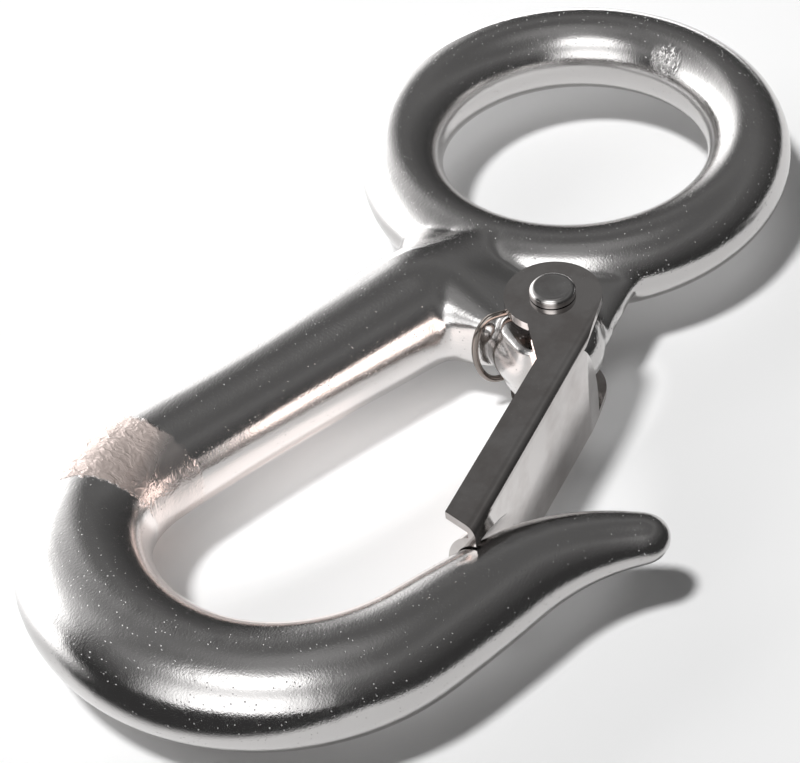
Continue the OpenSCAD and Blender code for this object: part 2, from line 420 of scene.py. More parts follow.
@dataclass(frozen=True)
class PlatedForging:
    """Bright chrome plating over a drop-forged and tumbled steel body.

    The plating is a metal mirror, but tumbling leaves the skin below it finely pebbled, so the
    mirror is soft, with small bright glints. A crumpled, duller strip runs round the bar.
    """

    colour: str = "#C8C6C5"
    strip_colour: str = "#E6D6CF"
    roughness: tuple[float, float] = (0.11, 0.18)
    strip_roughness: float = 0.42
    strip_dullness: float = 0.45
    mottle_mm: float = 0.9
    grain_mm: float = 0.25
    grain_depth_mm: float = 0.016
    swell_mm: float = 4.0
    swell_depth_mm: float = 0.035
    # The pits' real size isn't known: they are drawn at a size that shows.
    pit_spacing_mm: float = 0.36
    pit_depth_mm: float = 0.066
    pit_share: float = 0.26
    pit_reach: float = 0.28
    crease_mm: float = 1.3
    crease_depth_mm: float = 0.16
    crease_drift_mm: float = 2.2
    crease_wander_mm: float = 2.0
    crease_stretch: tuple[float, float, float] = (1.0, 0.5, 0.8)
    # The strip lies between two planes, each a bearing, a distance along it and its inner side.
    strip_sides: Edges = ((-2.0, 68.5, 1.0), (20.0, 67.4, -1.0))
    strip_centre: tuple[float, float, float] = (72.0, -14.0, 0.0)
    strip_axis: float = 9.0
    strip_reach_mm: tuple[float, float] = (-8.0, 12.0)
    strip_across: Table = (
        (0.0, 1.0), (0.36, 1.0), (0.46, 0.3), (0.62, 0.2), (0.7, 0.6), (0.78, 0.6), (1.0, 0.0),
    )
    ragged_mm: float = 1.6
    edge_mm: float = 0.2
    scuff_centre: tuple[float, float, float] = (-16.9, 3.8, 3.4)
    scuff_radius_mm: float = 2.4

    def make(self) -> bpy.types.Material:
        """Wires up the material.

        Returns:
            The finished material.
        """
        material, shade = start_material("chrome_plated_forged_steel")
        spot = shade.add("TexCoord", out="Object")
        mottle = shade.add("TexNoise", Vector=spot, Scale=per_mm(self.mottle_mm), Detail=3.0, Roughness=0.6)
        strip = self.strip(shade, spot, mottle)
        worn = shade.add("Math", {"operation": "MAXIMUM"}, in0=strip, in1=self.scuff(shade, spot, mottle))
        tint = shade.add(
            "Mix",
            {"data_type": "RGBA"},
            out=2,
            in0=strip,
            in6=linear(self.colour),
            in7=linear(self.strip_colour),
        )
        polish = shade.add("MapRange", Value=mottle, **span(0.3, 0.7, *self.roughness))
        metal = shade.add(
            "BsdfPrincipled",
            Base_Color=tint,
            Metallic=shade.add(
                "Math", {"operation": "MULTIPLY_ADD"}, in0=strip, in1=-self.strip_dullness, in2=1.0
            ),
            Roughness=shade.add(
                "Mix", {"data_type": "FLOAT"}, in0=worn, in2=polish, in3=self.strip_roughness
            ),
            Normal=self.relief(shade, spot, worn),
        )
        shade.add("OutputMaterial", Surface=metal)
        return material

    def relief(
        self, shade: Shade, spot: bpy.types.NodeSocket, worn: bpy.types.NodeSocket
    ) -> bpy.types.NodeSocket:
        """Layers the skin's relief: slow swell, fine grain, scattered pits, and the strip's creases.

        Args:
            shade: The material being wired.
            spot: Object coordinates.
            worn: The mask of the strip and the scuff.

        Returns:
            The bumped normal.
        """
        swell = shade.add("TexNoise", Vector=spot, Scale=per_mm(self.swell_mm), Detail=1.0, Roughness=0.5)
        grain = shade.add("TexNoise", Vector=spot, Scale=per_mm(self.grain_mm), Detail=2.0, Roughness=0.6)
        cells = shade.add("TexVoronoi", Vector=spot, Scale=per_mm(self.pit_spacing_mm)).node.outputs
        bare = shade.add("MapRange", SMOOTH, Value=cells["Distance"], **span(self.pit_reach, 0.0))
        chance = shade.add("SeparateColor", Color=cells["Color"])
        kept = shade.add("MapRange", Value=chance, **span(1.0 - self.pit_share, 1.0, 0.0, -1.0))
        pit = shade.add("Math", {"operation": "MULTIPLY"}, in0=bare, in1=kept)
        drift = shade.add(
            "TexNoise",
            out="Color",
            Vector=spot,
            Scale=per_mm(self.crease_drift_mm),
            Detail=2.0,
            Roughness=0.6,
        )
        wander = (self.crease_wander_mm * METRES_PER_MM,) * 3
        bent = shade.add("VectorMath", {"operation": "MULTIPLY_ADD"}, in0=drift, in1=wander, in2=spot)
        turned = shade.add(
            "Mapping",
            Vector=bent,
            Rotation=(0.0, 0.0, math.radians(-self.strip_axis)),
            Scale=self.crease_stretch,
        )
        creases = shade.add(
            "TexVoronoi", Vector=turned, Scale=per_mm(self.crease_mm), Detail=2.0, Roughness=0.6
        )
        crease = shade.add("Math", {"operation": "MULTIPLY"}, in0=creases, in1=worn)
        layers = (
            (swell, self.swell_depth_mm),
            (grain, self.grain_depth_mm),
            (pit, self.pit_depth_mm),
            (crease, self.crease_depth_mm),
        )
        normal = {}
        for height, depth in layers:
            bump = shade.add("Bump", Strength=1.0, Distance=depth * METRES_PER_MM, Height=height, **normal)
            normal = {"Normal": bump}
        return bump

    def strip(
        self, shade: Shade, spot: bpy.types.NodeSocket, ragged: bpy.types.NodeSocket
    ) -> bpy.types.NodeSocket:
        """Masks the rough strip round the bar.

        Args:
            shade: The material being wired.
            spot: Object coordinates.
            ragged: Noise that makes its edges uneven.

        Returns:
            The mask, 1 inside the strip.
        """
        centre = Vector(self.strip_centre) * METRES_PER_MM
        offset = shade.add("VectorMath", {"operation": "SUBTRACT"}, in0=spot, in1=centre)
        across = shade.add(
            "VectorMath", {"operation": "DOT_PRODUCT"}, "Value", in0=offset, in1=unit(self.strip_axis + 90)
        )
        near, far = (reach * METRES_PER_MM for reach in self.strip_reach_mm)
        share = shade.add("MapRange", Value=across, **span(near, far))
        mask = shade.add("ValToRGB", {"stops": self.strip_across}, Fac=share)
        for bearing, reach, side in self.strip_sides:
            along = shade.add(
                "VectorMath", {"operation": "DOT_PRODUCT"}, "Value", in0=spot, in1=unit(bearing)
            )
            depth = self.ragged_mm * METRES_PER_MM
            wander = shade.add("Math", {"operation": "MULTIPLY_ADD"}, in0=ragged, in1=depth, in2=along)
            soft = side * self.edge_mm
            ends = ((reach - soft) * METRES_PER_MM, (reach + soft) * METRES_PER_MM)
            inside = shade.add("MapRange", Value=wander, **span(*ends))
            mask = shade.add("Math", {"operation": "MULTIPLY"}, in0=mask, in1=inside)
        return mask

    def scuff(
        self, shade: Shade, spot: bpy.types.NodeSocket, ragged: bpy.types.NodeSocket
    ) -> bpy.types.NodeSocket:
        """Masks the scuffed spot on the eye.

        Args:
            shade: The material being wired.
            spot: Object coordinates.
            ragged: Noise that breaks it up.

        Returns:
            The mask, up to 1 inside the spot.
        """
        centre = Vector(self.scuff_centre) * METRES_PER_MM
        radius = self.scuff_radius_mm * METRES_PER_MM
        away = shade.add("VectorMath", {"operation": "DISTANCE"}, "Value", in0=spot, in1=centre)
        near = shade.add("MapRange", Value=away, **span(radius, radius * 0.4))
        broken = shade.add("MapRange", Value=ragged, **span(0.42, 0.58, 0.0, 0.7))
        return shade.add("Math", {"operation": "MULTIPLY"}, in0=near, in1=broken)


@dataclass(frozen=True)
class PlatedMetal:
    """Bright chrome plating over smooth steel, drawn or rolled before it was plated.

    The metal below is smooth, so the plating is a near mirror with a faint orange-peel ripple,
    and thin brown clouds where it has tarnished.
    """

    name: str
    colour: str = "#C8C6C5"
    roughness: tuple[float, float] = (0.05, 0.12)
    haze_mm: float = 1.6
    ripple_mm: float = 3.0
    ripple_depth_mm: float = 0.006
    stain: str = "#9A908C"
    stain_mm: float = 5.0
    stain_share: float = 0.4

    def make(self) -> bpy.types.Material:
        """Wires up the material.

        Returns:
            The finished material.
        """
        material, shade = start_material(self.name)
        spot = shade.add("TexCoord", out="Object")
        haze = shade.add("TexNoise", Vector=spot, Scale=per_mm(self.haze_mm), Detail=4.0, Roughness=0.65)
        clouds = shade.add("TexNoise", Vector=spot, Scale=per_mm(self.stain_mm), Detail=4.0, Roughness=0.6)
        ripple = shade.add("TexNoise", Vector=spot, Scale=per_mm(self.ripple_mm), Detail=2.0, Roughness=0.5)
        tint = shade.add(
            "Mix",
            {"data_type": "RGBA"},
            out=2,
            in0=shade.add("MapRange", Value=clouds, **span(0.42, 0.66, 0.0, self.stain_share)),
            in6=linear(self.colour),
            in7=linear(self.stain),
        )
        metal = shade.add(
            "BsdfPrincipled",
            Base_Color=tint,
            Metallic=1.0,
            Roughness=shade.add("MapRange", Value=haze, **span(0.35, 0.7, *self.roughness)),
            Normal=shade.add(
                "Bump", Strength=1.0, Distance=self.ripple_depth_mm * METRES_PER_MM, Height=ripple
            ),
        )
        shade.add("OutputMaterial", Surface=metal)
        return material


# ---------- forging ----------


def ease(share: float) -> float:
    """Gives a smooth step from 0 to 1."""
    return share * share * (3 - 2 * share)


@dataclass(frozen=True)
class Pose:
    """A place on the centre line, and the heading there in degrees."""

    x: float
    y: float
    heading: float

    def onward(self, length: float, bend: float) -> Pose:
        """Follows a straight or an arc from here.

        Args:
            length: How far to go.
            bend: The curvature, positive toward the mouth side.

        Returns:
            The pose at the far end.
        """
        start = math.radians(self.heading)
        if bend == 0.0:
            return Pose(self.x + length * math.cos(start), self.y + length * math.sin(start), self.heading)
        end = start + length * bend
        return Pose(
            self.x + (math.sin(end) - math.sin(start)) / bend,
            self.y - (math.cos(end) - math.cos(start)) / bend,
            math.degrees(end),
        )

    def spot(self) -> Vector:
        """Gives the place as a vector."""
        return Vector((self.x, self.y, 0.0))


@dataclass
class Bar:
    """The round bar of shank, bowl and nose, along its centre line."""

    start: Pose = Pose(33.0, -3.7, -21.5)
    root: tuple[float, float, float] = (20.0, 0.6, 4.7)
    # Each stretch of the centre line: its length and its curvature.
    stretches: Table = (
        (37.3, 0.0),
        (math.radians(73) * 16.3, 1 / 16.3),
        (math.radians(108) * 22.3, 1 / 22.3),
        (12.2, 0.0),
        (math.radians(39) * 22.5, -1 / 22.5),
    )
    tip_radius: float = 2.9
    tip_stretch: float = 1.1
    tip_blunt: float = 0.6
    step: float = 1.9
    sides: int = 56
    root_rings: int = 5
    tip_rings: int = 8

    def __post_init__(self) -> None:
        """Works out the table of radii along the bar."""
        lengths = [length for length, _ in self.stretches]
        self.length = sum(lengths)
        bowl = lengths[0] + lengths[1]
        nose = bowl + lengths[2]
        self.radii = (
            (0.0, 7.0),
            (lengths[0] * 0.45, 6.5),
            (lengths[0] * 0.8, 6.5),
            (lengths[0] + lengths[1] * 0.45, 7.1),
            (bowl, 7.6),
            (bowl + lengths[2] * 0.5, 6.8),
            (nose, 6.15),
            ((nose + self.length) / 2, 5.1),
            (self.length, self.tip_radius),
        )

    def pose(self, distance: float) -> Pose:
        """Gives the pose at a distance along the centre line.

        Args:
            distance: How far along, in millimetres.

        Returns:
            The pose there.
        """
        here = self.start
        for length, bend in self.stretches[:-1]:
            if distance <= length:
                return here.onward(distance, bend)
            here = here.onward(length, bend)
            distance -= length
        return here.onward(distance, self.stretches[-1][1])

    def radius(self, distance: float) -> float:
        """Gives the bar's radius at a distance, on a smooth curve through the table.

        Args:
            distance: How far along, in millimetres.

        Returns:
            The radius there.
        """
        table = self.radii
        i = 0
        while i < len(table) - 2 and distance > table[i + 1][0]:
            i += 1

        def slope(k: int) -> float:
            """Gives the table's slope about one row."""
            low, high = max(k - 1, 0), min(k + 1, len(table) - 1)
            return (table[high][1] - table[low][1]) / (table[high][0] - table[low][0])

        (start, before), (end, after) = table[i : i + 2]
        t = (distance - start) / (end - start)
        bulge = slope(i) * t * (1 - t) ** 2 - slope(i + 1) * t * t * (1 - t)
        return before * (1 - ease(t)) + after * ease(t) + (end - start) * bulge

    def rings(self) -> list[tuple[Pose, float]]:
        """Lists the pose and radius of every ring, from inside the eye to the nose's tip.

        Returns:
            The rings in order.
        """
        x, y, radius = self.root
        rings = []
        for k in range(self.root_rings):
            t = k / self.root_rings
            pose = Pose(x + t * (self.start.x - x), y + t * (self.start.y - y), self.start.heading * t)
            rings.append((pose, radius + ease(t) * (self.radii[0][1] - radius)))
        count = round(self.length / self.step)
        for k in range(count + 1):
            at = self.length * k / count
            rings.append((self.pose(at), self.radius(at)))
        tip = self.tip_radius * self.tip_stretch
        for k in range(1, self.tip_rings + 1):
            angle = math.radians(90 * k / (self.tip_rings + self.tip_blunt))
            rings.append((self.pose(self.length + tip * math.sin(angle)), self.tip_radius * math.cos(angle)))
        return rings

    def build(self) -> bpy.types.Object:
        """Draws the bar out ring by ring from a filled circle.

        Returns:
            The closed bar.
        """
        rings = self.rings()
        first, radius = rings[0]
        bpy.ops.mesh.primitive_circle_add(
            vertices=self.sides,
            radius=radius,
            fill_type="NGON",
            location=first.spot(),
            rotation=(0.0, math.pi / 2, math.radians(first.heading)),
        )
        bar = fresh("bar")
        with editing(bar):
            for (before, old), (after, new) in zip(rings, rings[1:]):
                centre = after.spot()
                bpy.ops.mesh.extrude_region_move(TRANSFORM_OT_translate={"value": centre - before.spot()})
                bpy.ops.transform.rotate(
                    value=-math.radians(after.heading - before.heading),
                    orient_axis="Z",
                    center_override=centre,
                )
                bpy.ops.transform.resize(value=(new / old,) * 3, center_override=centre)
            face_outwards()
        return bar


@dataclass
class Forging:
    """The hook's one-piece forged body: eye, neck, boss, shank, bowl and nose."""

    pivot: Vector
    finish: PlatedForging
    bar: Bar = field(default_factory=Bar)
    ring_radius: float = 21.0
    eye_bar_radius: float = 5.0
    boss_radius: float = 5.7
    boss_half: float = 4.3
    boss_rim: Table = ((1.0, 0.0), (0.975, 0.3), (0.91, 0.55), (0.77, 0.8), (0.57, 1.0))
    # The lenses that the neck is stretched over: x, y, radius and half height.
    thick_neck: tuple[tuple[float, float, float, float], ...] = (
        (23.5, -1.5, 5.3, 4.4),
        (30.4, -2.6, 6.5, 6.5),
        (28.5, 7.0, 5.0, 2.9),
        (22.0, -6.5, 4.0, 3.3),
    )
    thin_neck: tuple[tuple[float, float, float, float], ...] = (
        (18.06, 13.02, 4.8, 2.3),
        (28.5, 7.0, 5.0, 2.7),
    )
    stop_spot: tuple[float, float, float] = (1.4, -7.8, 0.0)
    stop_radius: float = 2.6
    stop_rim: float = 0.9
    stop_inset: float = 0.8
    ear_lens_spot: tuple[float, float, float] = (-2.0, -0.2, 0.0)
    ear_lens_half: float = 2.7
    tongue_reach: float = 6.2
    tongue_angle: float = -31.0
    tongue_low: float = -3.6
    tongue_high: float = 4.2
    tongue_corner: float = 2.4
    bulge_radius: float = 4.25
    bulge_spot: tuple[float, float, float] = (3.05, -0.9, 0.0)
    bulge_stretch: float = 1.28
    coil_room_inset: float = 1.0
    coil_room_height: float = 10.0
    loop_angle: float = -41.5
    loop_room_low: float = -3.05
    loop_room_inset: float = 0.4
    loop_room_length: float = 12.0
    loop_room_height: float = 12.0
    throat_centre: tuple[float, float, float] = (23.9, 26.3, 0.0)
    throat_radius: float = 7.9
    hole_radius: float = 1.64
    voxel: float = 0.4
    # Corners are rounded least at the boss, within crisp_radius of the pivot.
    smooth_passes: int = 26
    crisp_radius: float = 5.5
    crisp_fade: float = 4.0
    crisp_share: float = 0.25

    def lens(self, x: float, y: float, radius: float, half: float) -> bpy.types.Object:
        """Gives a ball at a place, squeezed along the rivet's axis to a half height."""
        bpy.ops.mesh.primitive_uv_sphere_add(
            segments=48, ring_count=24, radius=radius, location=(x, y, 0.0), scale=(1.0, 1.0, half / radius)
        )
        return fresh("lens")

    def stretch(self, solids: Sequence[bpy.types.Object], name: str) -> bpy.types.Object:
        """Stretches one skin over some solids.

        Args:
            solids: The solids.
            name: The name of the result.

        Returns:
            The convex solid.
        """
        skin = merge(solids, name)
        with editing(skin):
            bpy.ops.mesh.convex_hull()
        return skin

    def neck(self) -> bpy.types.Object:
        """Fills the corner between eye, shank and boss: thick by the shank, thin by the mouth.

        Returns:
            The neck, with room cut for the gate's ears and the spring.
        """
        thickness = 2 * (self.boss_half - self.stop_inset)
        stop = cylinder("stop", self.stop_radius, thickness, self.pivot + Vector(self.stop_spot))
        finish_with(
            stop, "BEVEL", width=self.stop_rim, segments=6, limit_method="ANGLE", angle_limit=math.radians(60)
        )
        neck = self.stretch([stop, *(self.lens(*row) for row in self.thick_neck)], "neck")
        ear = self.pivot + Vector(self.ear_lens_spot)
        thin = [self.lens(*row) for row in self.thin_neck]
        thin.insert(1, self.lens(ear.x, ear.y, self.boss_radius - 0.3, self.ear_lens_half))
        combine(neck, self.stretch(thin, "thin_neck"), Join.ADD)
        for side in (1, -1):
            combine(neck, self.coil_room(side), Join.CUT)
            combine(neck, self.loop_room(side), Join.CUT)
        throat = cylinder("throat", self.throat_radius, spot=self.throat_centre, sides=96)
        combine(neck, throat, Join.CUT)
        return neck

    def coil_room(self, side: int) -> bpy.types.Object:
        """Gives the room for one coil of the spring, above or below the boss.

        Args:
            side: 1 for above, -1 for below.

        Returns:
            The solid to cut away.
        """
        height = self.coil_room_height
        lift = Vector((0.0, 0.0, side * (self.boss_half + height / 2)))
        return cylinder("coil_room", self.boss_radius - self.coil_room_inset, height, self.pivot + lift)

    def loop_room(self, side: int) -> bpy.types.Object:
        """Gives the room for the wire between one coil and the loop.

        Args:
            side: 1 for above the boss, -1 for below it.

        Returns:
            The solid to cut away.
        """
        floor, top = sorted((side * self.boss_half, side * (self.boss_half + self.loop_room_height)))
        room = block(
            "loop_room",
            (-1.0, self.loop_room_low, floor),
            (self.loop_room_length, self.boss_radius - self.loop_room_inset, top),
        )
        return place(room, self.loop_angle, self.pivot)

    def boss(self) -> bpy.types.Object:
        """Turns the boss between the gate's ears, with its rounded rims.

        Returns:
            The boss.
        """
        rims = [(reach, -height) for reach, height in reversed(self.boss_rim[1:])] + list(self.boss_rim)
        bpy.ops.mesh.primitive_circle_add(vertices=96, radius=rims[0][0] * self.boss_radius, fill_type="NGON")
        drum = place(fresh("boss"), 0.0, (0.0, 0.0, -self.boss_half))
        with editing(drum):
            for (reach, low), (wider, high) in zip(rims, rims[1:]):
                rise = (0.0, 0.0, (high - low) * self.boss_half)
                bpy.ops.mesh.extrude_region_move(TRANSFORM_OT_translate={"value": rise})
                bpy.ops.transform.resize(
                    value=(wider / reach, wider / reach, 1.0),
                    center_override=(0.0, 0.0, high * self.boss_half),
                )
            face_outwards()
        return place(drum, 0.0, self.pivot)

    def tongue(self) -> list[bpy.types.Object]:
        """Makes the boss's tongue toward the bowl.

        Returns:
            The tongue and the round bulge on it, which overlap.
        """
        tongue = block(
            "tongue",
            (0.0, self.tongue_low, -self.boss_half),
            (self.tongue_reach, self.tongue_high, self.boss_half),
        )

        def at_tip(edge: bmesh.types.BMEdge) -> bool:
            """Tells whether an edge stands upright at the tongue's tip."""
            one, other = (vertex.co for vertex in edge.verts)
            return abs(one.z - other.z) > 1.0 and one.x > self.tongue_reach - 0.01

        with editing(tongue):
            pick(tongue, Part.EDGES, at_tip)
            bpy.ops.mesh.bevel(offset=self.tongue_corner, segments=8)
        bpy.ops.mesh.primitive_uv_sphere_add(
            segments=48,
            ring_count=24,
            radius=self.bulge_radius,
            location=self.bulge_spot,
            scale=(1.0, self.bulge_stretch, 1.0),
        )
        bulge = fresh("bulge")
        return [place(piece, self.tongue_angle, self.pivot) for piece in (tongue, bulge)]

    def build(self) -> bpy.types.Object:
        """Fuses the solids into one skin, and rounds the corners between them.

        Returns:
            The finished forging.
        """
        bpy.ops.mesh.primitive_torus_add(
            major_segments=180,
            minor_segments=72,
            major_radius=self.ring_radius,
            minor_radius=self.eye_bar_radius,
        )
        solids = [fresh("eye"), self.bar.build(), self.neck(), self.boss(), *self.tongue()]
        body = merge(solids, "forged_hook")
        finish_with(body, "REMESH", mode="VOXEL", voxel_size=self.voxel)
        soft = body.vertex_groups.new(name="soft")
        for vertex in body.data.vertices:
            away = (vertex.co - self.pivot).xy.length
            blend = min(max((away - self.crisp_radius) / self.crisp_fade, 0.0), 1.0)
            soft.add([vertex.index], self.crisp_share + (1 - self.crisp_share) * blend, "REPLACE")
        finish_with(body, "SMOOTH", factor=0.5, iterations=self.smooth_passes, vertex_group="soft")
        body.vertex_groups.clear()
        combine(body, cylinder("rivet_hole", self.hole_radius, spot=self.pivot), Join.CUT)
        smooth(body, 50.0)
        return dress(body, self.finish.make())


# ---------- gate ----------


@dataclass
class Gate:
    """The gate, folded from one piece of sheet: a web, two sides with round ears, a scooped tip."""

    pivot: Vector
    finish: PlatedMetal
    angle: float = 5.627
    length: float = 35.19
    seat_depth: float = 3.1
    scoop_radius: float = 5.79
    scoop_lean: float = 21.0
    half_width: float = 7.7
    sheet: float = 1.0
    depth: float = 4.0
    web: float = 6.35
    ear_radius: float = 5.5
    ear_arc: tuple[float, float] = (-7.0, 93.0)
    fold_radius: float = 1.2
    ear_corner_x: float = 10.3
    web_top_x: float = 6.0
    web_end_x: float = 2.0
    web_end_radius: float = 19.0
    web_end_z: float = -5.5
    web_waste: tuple[float, float] = (-0.35, 4.65)
    dish_start: float = 10.0
    tip_slant: float = 1.5
    tip_inset: float = 0.3
    hole_radius: float = 1.66
    edge: float = 0.26

    def channel(self) -> bpy.types.Object:
        """Folds a box with two open ends and one open side, and gives it the sheet's thickness.

        Returns:
            The channel, still with square ends.
        """
        low = -self.ear_radius - 1.0
        channel = block(
            "channel", (low, low, -self.half_width), (self.length + 5.0, self.web, self.half_width)
        )

        def at_fold(edge: bmesh.types.BMEdge) -> bool:
            """Tells whether an edge runs along one of the two folds."""
            one, other = (vertex.co for vertex in edge.verts)
            return min(one.y, other.y) > self.web - 0.01 and abs(one.x - other.x) > 1

        with editing(channel):
            pick(channel, Part.FACES, lambda face: abs(face.normal.x) > 0.9 or face.normal.y < -0.9)
            bpy.ops.mesh.delete(type="ONLY_FACE")
            pick(channel, Part.EDGES, at_fold)
            bpy.ops.mesh.bevel(offset=self.fold_radius, segments=12)
        finish_with(channel, "SOLIDIFY", thickness=self.sheet, offset=-1.0, use_even_offset=True)
        return channel

    def outline(self) -> bpy.types.Object:
        """Draws the gate's outline seen along the rivet, and makes it a thick block.

        Returns:
            The block that the channel is trimmed by.
        """
        bpy.ops.mesh.primitive_circle_add(vertices=180, radius=self.ear_radius, fill_type="NOTHING")
        outline = fresh("outline")
        first, last = self.ear_arc
        low, high, far = self.web - self.depth, self.web + 0.01, self.length + 3.0
        corners = ((self.ear_corner_x, low), (far, low), (far, high), (self.web_top_x, high))
        here = unit(first - 1.0) * self.ear_radius

        def in_arc(vertex: bmesh.types.BMVert) -> bool:
            """Tells whether a vertex is in the part of the ear's circle that the side takes up."""
            return first < math.degrees(math.atan2(vertex.co.y, vertex.co.x)) < last

        with editing(outline):
            pick(outline, Part.VERTS, in_arc)
            bpy.ops.mesh.delete(type="VERT")
            pick(outline, Part.VERTS, lambda vertex: (vertex.co - here).length < 0.05)
            for x, y in corners:
                corner = Vector((x, y, 0.0))
                bpy.ops.mesh.extrude_vertices_move(TRANSFORM_OT_translate={"value": corner - here})
                here = corner
            bpy.ops.mesh.select_all(action="SELECT")
            bpy.ops.mesh.edge_face_add()
            bpy.ops.mesh.extrude_region_move(TRANSFORM_OT_translate={"value": (0.0, 0.0, 20.0)})
            face_outwards()
        return place(outline, 0.0, (0.0, 0.0, -10.0))

    def web_end(self) -> bpy.types.Object:
        """Gives the waste past the web's round end, beside the rivet.

        Returns:
            The solid to cut away.
        """
        inner = self.half_width - self.sheet
        centre = self.web_end_x + self.web_end_radius
        low, high = (self.ear_radius + reach for reach in self.web_waste)
        waste = block("web_end", (-self.ear_radius - 2.0, low, -inner), (centre, high, inner))
        arc = cylinder(
            "web_arc",
            self.web_end_radius,
            spot=(centre, 6.0, self.web_end_z),
            sides=180,
            turn=(math.pi / 2, 0.0, 0.0),
        )
        combine(waste, arc, Join.CUT)
        return waste

    def scoop(self, radius: float) -> bpy.types.Object:
        """Gives a long round bar along the scoop's axis, where the nose lies."""
        bar = cylinder(
            "scoop", radius, 80.0, (0.0, self.scoop_radius, 0.0), sides=144, turn=(0.0, math.pi / 2, 0.0)
        )
        return place(bar, -self.scoop_lean, (self.length, self.seat_depth, 0.0))

    def dish(self) -> bpy.types.Object:
        """Gives the scooped tip's wall, one sheet thick, between the gate's sides.

        Returns:
            The wall, still filled where the nose goes.
        """
        dish = self.scoop(self.scoop_radius + self.sheet)
        half = self.half_width - self.sheet / 2
        limit = block(
            "dish_limit",
            (self.dish_start, -self.ear_radius, -half),
            (self.dish_start + self.length, self.web, half),
        )
        combine(dish, limit, Join.KEEP)
        return dish

    def build(self) -> bpy.types.Object:
        """Trims the folded channel to its outline, scoops its tip and rounds its cut edges.

        Returns:
            The finished gate.
        """
        gate = self.channel()
        combine(gate, self.outline(), Join.KEEP)
        combine(gate, self.web_end(), Join.CUT)
        combine(gate, self.dish(), Join.ADD)
        combine(gate, self.scoop(self.scoop_radius), Join.CUT)
        lean = math.atan2(self.tip_slant, self.depth)
        with editing(gate):
            bpy.ops.mesh.bisect(
                plane_co=(self.length - self.tip_inset, self.web - self.depth, 0.0),
                plane_no=(math.cos(lean), -math.sin(lean), 0.0),
                use_fill=True,
                clear_outer=True,
            )
        combine(gate, cylinder("gate_hole", self.hole_radius), Join.CUT)
        gate.name = gate.data.name = "folded_gate"
        with editing(gate):
            bpy.ops.mesh.remove_doubles(threshold=0.005)
            bpy.ops.mesh.dissolve_limited(angle_limit=math.radians(0.5))
        finish_with(
            gate, "BEVEL", width=self.edge, segments=2, limit_method="ANGLE", angle_limit=math.radians(35)
        )
        place(gate, self.angle, self.pivot)
        smooth(gate, 40.0)
        finish_with(gate, "WEIGHTED_NORMAL", keep_sharp=True)
        return dress(gate, self.finish.make())


# ---------- rivet ----------


@dataclass
class Rivet:
    """The rivet that the gate turns on, with a low round head at each end."""

    pivot: Vector
    finish: PlatedMetal
    radius: float = 1.6
    head_radius: float = 2.6
    head_base: float = 7.8
    head_height: float = 1.08
    edge: float = 0.6
    crown_steps: tuple[float, ...] = (0.4, 0.5, 0.5)
    crown_sink: float = 0.02

    def head(self, side: int) -> bpy.types.Object:
        """Forms one head: a disc with a rolled rim and a top pressed slightly in.

        Args:
            side: 1 for the upper head, -1 for the lower.

        Returns:
            The head.
        """
        middle = (0.0, 0.0, side * (self.head_base + self.head_height / 2))
        head = cylinder("head", self.head_radius, self.head_height, middle, sides=96)
        with editing(head):
            pick(head, Part.FACES, lambda face: face.normal.z * side > 0.9)
            bpy.ops.mesh.bevel(offset=self.edge, segments=8)
            pick(head, Part.FACES, lambda face: face.normal.z * side > 0.9999)
            for step in self.crown_steps:
                bpy.ops.mesh.inset(thickness=step)
                bpy.ops.transform.translate(value=(0.0, 0.0, -self.crown_sink * side))
        return head

    def build(self) -> bpy.types.Object:
        """Joins the shank and both heads.

        Returns:
            The finished rivet.
        """
        rivet = cylinder("headed_rivet", self.radius, 2 * self.head_base + 0.6)
        for side in (1, -1):
            combine(rivet, self.head(side), Join.ADD)
        place(rivet, 0.0, self.pivot)
        smooth(rivet, 50.0)
        return dress(rivet, self.finish.make())


# ---------- spring ----------


